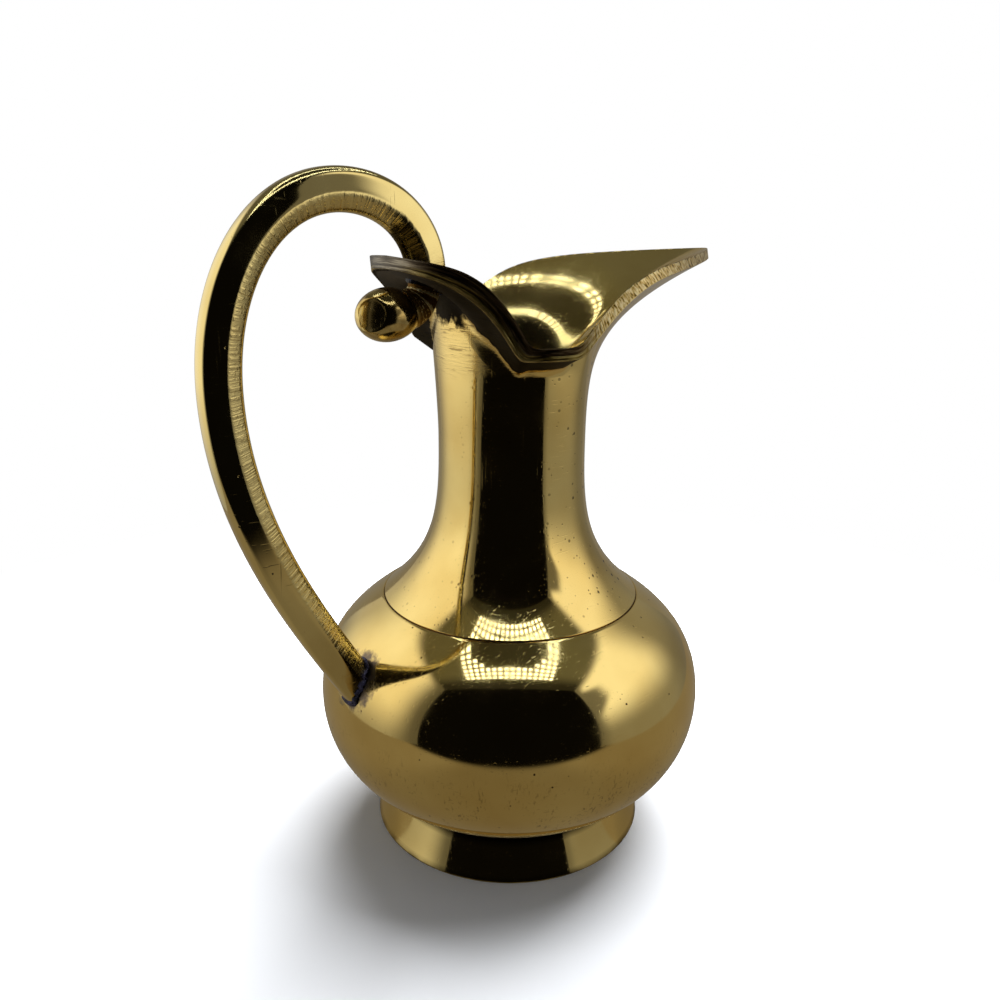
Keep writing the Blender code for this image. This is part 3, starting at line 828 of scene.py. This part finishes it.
rod_marks = {
    "inner_face": inner_share,
    "torched": torch_share,
    "shank": lambda share, row: past(row, 0.8, 0.9) * past(row, 1.7, 1.4),
    "ball": lambda share, row: past(row, 0.9, 0.8),
    "along_rod": lambda share, row: rod_distance[row] / chatter_pitch,
}
rod_shape = wrapped_grid(
    rod_around, len(rod_path), lambda share, row: rod_point(2.0 * pi * share, row), False, rod_marks
)
trim_normal = Vector((-0.78, 0.0, 0.62))
trim_point = Vector(bowl_joint) - trim_depth * trim_normal
bmesh.ops.bisect_plane(
    rod_shape,
    geom=list(rod_shape.verts) + list(rod_shape.edges) + list(rod_shape.faces),
    plane_co=trim_point,
    plane_no=-trim_normal,
)
buried = [
    vert
    for vert in rod_shape.verts
    if (vert.co - trim_point).dot(trim_normal) < -0.001 * MM and vert.co.z < trim_below
]
bmesh.ops.delete(rod_shape, geom=buried, context="VERTS")
bmesh.ops.holes_fill(rod_shape, edges=[edge for edge in rod_shape.edges if edge.is_boundary], sides=0)
bmesh.ops.recalc_face_normals(rod_shape, faces=rod_shape.faces)

handle_brass = polished_brass("Polished cast brass, handle", tone="#E6D290", deep="#D0B774")
handle_tree = handle_brass["tree"]
handle_spot = handle_brass["place"]
rod_mark = {name: add_node(handle_tree, "Attribute", out="Fac", attribute_name=name) for name in rod_marks}
chatter = add_node(handle_tree, "TexNoise", rod_mark["along_rod"], 1.0, 3.0, 0.6, noise_dimensions="1D")
chatter = add_node(handle_tree, "MapRange", chatter, 0.4, 0.65)
breaks = grain(handle_tree, handle_spot, 0.7 * MM, detail=2.0)
breaks = add_node(handle_tree, "MapRange", breaks, 0.5, 0.7, -0.3, 0.3)
chatter = add_node(handle_tree, "Math", chatter, breaks, operation="ADD")
chatter = add_node(handle_tree, "Math", chatter, rod_mark["inner_face"], operation="MULTIPLY")
handle_specks = pits(handle_tree, handle_spot, 3.0 * MM, 0.5 * MM, 0.22)
# The shank's file chatter in streaks paler than the brass: real file marks, and partly painted light on a
# shank in the lobe's shade.
shank_chatter_and_painted_light = shaded(handle_tree, chatter, [(0.2, "#7A5820"), (0.45, "#E8CE86"), (0.8, "#FFF2C4")])
tarnish = grain(handle_tree, handle_spot, 4.0 * MM, detail=5.0, rough=0.6)
tarnish = add_node(handle_tree, "MapRange", tarnish, 0.42, 0.6, 0.15, 0.75)
torch_edge = grain(handle_tree, handle_spot, 1.6 * MM, detail=4.0)
torch_edge = add_node(handle_tree, "MapRange", torch_edge, 0.3, 0.7, -0.3, 0.3)
torched = add_node(handle_tree, "Math", rod_mark["torched"], torch_edge, operation="ADD")
torched = add_node(handle_tree, "MapRange", torched, 0.35, 0.65, 0.0, 0.92)
stain(handle_brass, add_node(handle_tree, "Math", chatter, 0.14, operation="MULTIPLY"), "#7A5A28")
stain(handle_brass, rod_mark["shank"], shank_chatter_and_painted_light)
stain(handle_brass, add_node(handle_tree, "Math", rod_mark["ball"], tarnish, operation="MULTIPLY"), "#8C6C34")
stain(handle_brass, torched, "#171009")
stain(handle_brass, handle_specks, "#3A270E")
chatter_depth = add_node(handle_tree, "MapRange", rod_mark["shank"], 0.0, 1.0, 0.8, 1.3)
for relief in (
    add_node(handle_tree, "Math", handle_specks, -1.0, operation="MULTIPLY"),
    add_node(handle_tree, "Math", chatter, chatter_depth, operation="MULTIPLY"),
):
    handle_brass["height"] = add_node(handle_tree, "Math", handle_brass["height"], relief, operation="ADD")
roughen(handle_brass, rod_mark["inner_face"], 0.12)
roughen(handle_brass, rod_mark["shank"], 0.42)
roughen(handle_brass, rod_mark["ball"], 0.05)
handle = new_piece("loop_handle", rod_shape, finish_brass(handle_brass, 0.04 * MM))
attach(handle, "root")
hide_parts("handle")


# Lower handle braze: the bead run round the handle's coped end, where it stands on the bowl.
# It is left as it set, lumpy, and blue and violet from the torch.
bead_rows = 17
bead_flatness = 0.55
lower_bead_size = 0.75 * MM


def lower_bead_centre(turn):
    """Where the rod's skin at one turn of its section meets the bowl."""
    for row in range(len(rod_path) - 1, 0, -1):
        point = rod_point(turn, row)
        if hypot(point.x - vessel_x, point.y) > line_at(bowl_line, 1, point.z) or point.z > seam[1]:
            return point
    return rod_point(turn, len(rod_path) - 1)


def bead_place(share, row, size, centre_at):
    """A lumpy tube laid round a closed curve: share runs along it, row round its section."""
    turn = 2.0 * pi * share
    centre = centre_at(turn)
    ahead = centre_at(turn + 0.06) - centre_at(turn - 0.06)
    ahead = ahead.normalized() if ahead.length > 0.0 else Vector((0.0, 1.0, 0.0))
    away = Vector((centre.x - vessel_x, centre.y, 0.0)).normalized()
    side = ahead.cross(away).normalized()
    away = side.cross(ahead).normalized()
    spin = 2.0 * pi * row / (bead_rows - 1)
    lump = 1.0 + 0.4 * noise.noise(centre * 380.0) + 0.15 * noise.noise(centre * 900.0)
    return centre + lump * size * (bead_flatness * cos(spin) * away + sin(spin) * side)


def bead(segments, size, centre_at):
    """A closed bead of braze of one size, whose centre line follows from a turn."""
    shape = bmesh.new()
    bmesh.ops.create_grid(shape, x_segments=segments, y_segments=bead_rows - 1, size=0.5)
    for vert in shape.verts:
        row = round((vert.co.y + 0.5) * (bead_rows - 1))
        vert.co = bead_place(vert.co.x + 0.5, row, size, centre_at)
    bmesh.ops.remove_doubles(shape, verts=shape.verts, dist=0.005 * MM)
    bmesh.ops.recalc_face_normals(shape, faces=shape.faces)
    return shape


lower_shape = bead(120, lower_bead_size, lower_bead_centre)
lower_material = torched_braze("Torched braze, handle foot", "#1A1614", "#4A4860")
lower_braze = new_piece("lower_braze", lower_shape, lower_material)
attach(lower_braze, "root")
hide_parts("lower_handle_braze")


# Upper handle braze: the bead under the rear lobe, round the shank where it leaves the neck.
# It lies out of the polisher's reach, and is black.
upper_bead_size = 0.8 * MM
shank_first_row = 60
rear_line = neck_line(180.0)


def upper_bead_centre(turn):
    """Where the shank's skin at one turn of its section leaves the neck's outer wall."""
    for row in range(shank_first_row, len(rod_path)):
        point = rod_point(turn, row)
        bearing = degrees(atan2(point.y, point.x - vessel_x))
        if hypot(point.x - vessel_x, point.y) < line_at(rear_line, 1, point.z) or abs(bearing) < 120.0:
            return point
    return rod_point(turn, len(rod_path) - 1)


upper_shape = bead(96, upper_bead_size, upper_bead_centre)
upper_material = torched_braze("Torched braze, handle shank", "#0E0C0B", "#2E3040")
upper_braze = new_piece("upper_braze", upper_shape, upper_material)
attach(upper_braze, "root")
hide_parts("upper_handle_braze")


# Camera: it stands in the tent's open front, a little above the mouth, and looks down at the neck.
# Its places are measured from the vessel's axis, in a frame that is turned to face the picture.
view_bearing = radians(-37.0)
camera_distance = 217.9 * MM
camera_side = -2.65 * MM
camera_height = 153.2 * MM
camera_pitch = radians(17.79)
camera_roll = radians(0.48)
sensor_width = 36.0
focal_pixels = 950.0
frame_pixels = 1000.0
to_view = Matrix.Translation((vessel_x, 0.0, 0.0)) @ Matrix.Rotation(view_bearing, 4, "Z")
camera_data = bpy.data.cameras.new("camera")
camera_data.sensor_width = sensor_width
camera_data.lens = sensor_width * focal_pixels / frame_pixels
camera_data.clip_start = 10.0 * MM
camera = bpy.data.objects.new("camera", camera_data)
bpy.context.scene.collection.objects.link(camera)
camera.matrix_world = (
    to_view
    @ Matrix.Translation((camera_side, -camera_distance, camera_height))
    @ Matrix.Rotation(0.5 * pi - camera_pitch, 4, "X")
    @ Matrix.Rotation(camera_roll, 4, "Z")
)
bpy.context.scene.camera = camera


# Floor: a sheet of matt white acrylic that takes the pitcher's soft shadow.
# Away from the foot it fades into the plain white behind it.
floor_size = 3.0
floor_white = "#F1F4F9"
fade_start = 120.0 * MM
fade_end = 260.0 * MM


def in_sight(tree):
    """1 for the rays that the camera sends, and for those that metal or glass sends on."""
    seen = add_node(tree, "LightPath", out="Is Camera Ray")
    rays = seen.node.outputs
    for ray in ("Is Glossy Ray", "Is Transmission Ray"):
        seen = add_node(tree, "Math", seen, rays[ray], operation="MAXIMUM")
    return seen


floor_shape = bmesh.new()
bmesh.ops.create_grid(floor_shape, x_segments=1, y_segments=1, size=floor_size)
floor_material = bpy.data.materials.new("White acrylic sheet")
floor_material.use_nodes = True
floor_tree = floor_material.node_tree
floor_shader = floor_tree.nodes["Principled BSDF"]
floor_shader.inputs["Base Color"].default_value = linear(floor_white)
floor_shader.inputs["Roughness"].default_value = 1.0
floor_shader.inputs["Specular IOR Level"].default_value = 0.0
floor_spot = add_node(floor_tree, "TexCoord", out="Object")
floor_far = add_node(floor_tree, "VectorMath", floor_spot, operation="LENGTH")
floor_far = add_node(floor_tree, "MapRange", floor_far, fade_start, fade_end)
floor_faded = add_node(floor_tree, "Math", floor_far, in_sight(floor_tree), operation="MULTIPLY")
plain_white = add_node(floor_tree, "Emission", "#FFFFFF", 1.0)
floor_surface = add_node(floor_tree, "MixShader", floor_faded, floor_shader.outputs["BSDF"], plain_white)
floor_tree.links.new(floor_surface, floor_tree.nodes["Material Output"].inputs["Surface"])
floor = new_piece("floor", floor_shape, floor_material)


# Light tent: white cloth sides and back, a dim roof with a frame of small lamps, and a dark open front.
# The brass shows these as pale sides, a dark middle and rows of bright points; the camera doesn't see them.
tent_half = 200.0 * MM
tent_front = -185.0 * MM
tent_back = 260.0 * MM
tent_height = 310.0 * MM
lamp_height = tent_height - 8.0 * MM
lamp_half = (108.0 * MM, 91.0 * MM)
lamp_counts = (16, 13)
lamp_gap = 3.0 * MM
lamp_middle = -47.0 * MM
hole_half = (88.0 * MM, 60.0 * MM)
hole_middle = -40.0 * MM
lamp_glow = 6.0
back_glow = 0.24
front_glow = 0.003


def reflected_only(name, shape, colour, strength=None):
    """A glowing piece of the tent that only reflections show; its strength is one number,
    or else the glow that is painted on its mesh."""
    material = bpy.data.materials.new(name)
    material.use_nodes = True
    tree = material.node_tree
    tree.nodes.remove(tree.nodes["Principled BSDF"])
    if strength is None:
        strength = add_node(tree, "Attribute", out="Fac", attribute_name="glow")
    emission = add_node(tree, "Emission", colour, strength)
    tree.links.new(emission, tree.nodes["Material Output"].inputs["Surface"])
    piece = new_piece(name, shape, material)
    piece.visible_camera = False
    piece.visible_diffuse = False
    piece.visible_shadow = False


def tent_panel(name, corner, width, height, colour, glow_at):
    """A flat panel of the tent, with a glow that changes over the panel."""
    shape = bmesh.new()
    bmesh.ops.create_grid(shape, x_segments=36, y_segments=36, size=0.5)
    glow = shape.verts.layers.float.new("glow")
    for vert in shape.verts:
        spot = Vector(corner) + (vert.co.x + 0.5) * Vector(width) + (vert.co.y + 0.5) * Vector(height)
        vert[glow] = glow_at(spot)
        vert.co = to_view @ spot
    reflected_only(name, shape, colour)


def left_glow(spot):
    """Bright cloth, darker low down, far back and towards the open front."""
    front = smooth(spot.y, -170.0 * MM, -75.0 * MM)
    back = 1.0 - 0.6 * smooth(spot.y, 50.0 * MM, 210.0 * MM)
    low = 0.25 + 0.75 * smooth(spot.z, -15.0 * MM, 120.0 * MM)
    return 0.13 + 1.05 * front * back * low * smooth(spot.z, 310.0 * MM, 260.0 * MM)


def right_glow(spot):
    """As on the left, with a front edge that leans back half way up."""
    lean = 50.0 * MM * smooth(spot.z, 110.0 * MM, 180.0 * MM) * smooth(spot.z, 270.0 * MM, 220.0 * MM)
    front = smooth(spot.y - lean, -176.0 * MM, -140.0 * MM)
    back = 1.0 - 0.9 * smooth(spot.y, 10.0 * MM, 120.0 * MM)
    low = 0.1 + 0.9 * smooth(spot.z, 40.0 * MM, 150.0 * MM)
    return 0.18 + 1.0 * front * back * low * smooth(spot.z, 310.0 * MM, 270.0 * MM)


def from_hole(x, y):
    """How far a spot on the roof lies from the middle of the lamp frame's oval hole; 1 is on its edge."""
    return hypot(x / hole_half[0], (y - hole_middle) / hole_half[1])


def roof_glow(spot):
    """Dim cloth, dimmer inside the lamp frame and towards the open front."""
    inside_frame = 0.3 + 0.7 * smooth(from_hole(spot.x, spot.y), 0.7, 1.3)
    return (0.03 + 0.11 * smooth(spot.y, -165.0 * MM, -110.0 * MM)) * inside_frame


def ground_glow(spot):
    """The lit floor as the brass sees it, a little brighter to the sides."""
    side = 0.06 * smooth(abs(spot.x), 40.0 * MM, 90.0 * MM)
    return (0.2 + side) * smooth(spot.y, -178.0 * MM, -140.0 * MM)


tent_width = (2.0 * tent_half, 0.0, 0.0)
tent_depth = (0.0, tent_back - tent_front, 0.0)
tent_rise = (0.0, 0.0, tent_height)
tent_panel("tent_left", (-tent_half, tent_front, 0.0), tent_depth, tent_rise, "#FFFCF4", left_glow)
tent_panel("tent_right", (tent_half, tent_front, 0.0), tent_depth, tent_rise, "#FFFCF4", right_glow)
tent_panel(
    "tent_back", (-tent_half, tent_back, 0.0), tent_width, tent_rise, "#FFF8EA", lambda spot: back_glow
)
tent_panel(
    "tent_front", (-tent_half, tent_front, 0.0), tent_width, tent_rise, "#FFF4E0", lambda spot: front_glow
)
tent_panel("tent_roof", (-tent_half, tent_front, tent_height), tent_width, tent_depth, "#F6F4DC", roof_glow)
tent_panel("tent_floor", (-tent_half, tent_front, 0.2 * MM), tent_width, tent_depth, "#FFEFD2", ground_glow)

lamp_shape = bmesh.new()
bmesh.ops.create_grid(lamp_shape, x_segments=lamp_counts[0], y_segments=lamp_counts[1], size=1.0)
bmesh.ops.scale(lamp_shape, vec=(*lamp_half, 1.0), verts=lamp_shape.verts)
lamp_centres = [(face, face.calc_center_median()) for face in lamp_shape.faces]
hole_faces = [face for face, spot in lamp_centres if from_hole(spot.x, spot.y + lamp_middle) < 1.0]
bmesh.ops.delete(lamp_shape, geom=hole_faces, context="FACES")
gaps = bmesh.ops.inset_individual(
    lamp_shape, faces=lamp_shape.faces, thickness=lamp_gap, use_even_offset=True
)
bmesh.ops.delete(lamp_shape, geom=gaps["faces"], context="FACES")
lamp_matrix = to_view @ Matrix.Translation((0.0, lamp_middle, lamp_height))
bmesh.ops.transform(lamp_shape, matrix=lamp_matrix, verts=lamp_shape.verts)
reflected_only("lamp_frame", lamp_shape, "#EAF4FF", lamp_glow)


# Light on the floor: one soft lamp above and behind, to the right, over an even pale surround.
# It gives the pitcher its shadow, and the brass doesn't mirror it.
key_energy = 7.4
key_size = (0.52, 0.44)
key_place = to_view @ Vector((0.1, 0.2, 0.46))
key_aim = to_view @ Vector((-0.02, -0.03, 0.0))
surround_light = 0.24
key_data = bpy.data.lights.new("soft_lamp", "AREA")
key_data.shape = "RECTANGLE"
key_data.size = key_size[0]
key_data.size_y = key_size[1]
key_data.energy = key_energy
key = bpy.data.objects.new("soft_lamp", key_data)
bpy.context.scene.collection.objects.link(key)
key_turn = (key_aim - key_place).to_track_quat("-Z", "Y").to_matrix().to_4x4()
key.matrix_world = Matrix.Translation(key_place) @ key_turn
key.visible_glossy = False

world = bpy.data.worlds.new("pale_surround")
bpy.context.scene.world = world
world.use_nodes = True
world_tree = world.node_tree
surround = world_tree.nodes["Background"]
surround.inputs["Color"].default_value = linear("#FFFFFF")
surround_strength = add_node(world_tree, "MapRange", in_sight(world_tree), 0.0, 1.0, surround_light, 1.0)
world_tree.links.new(surround_strength, surround.inputs["Strength"])
bpy.context.scene.view_settings.view_transform = "Standard"
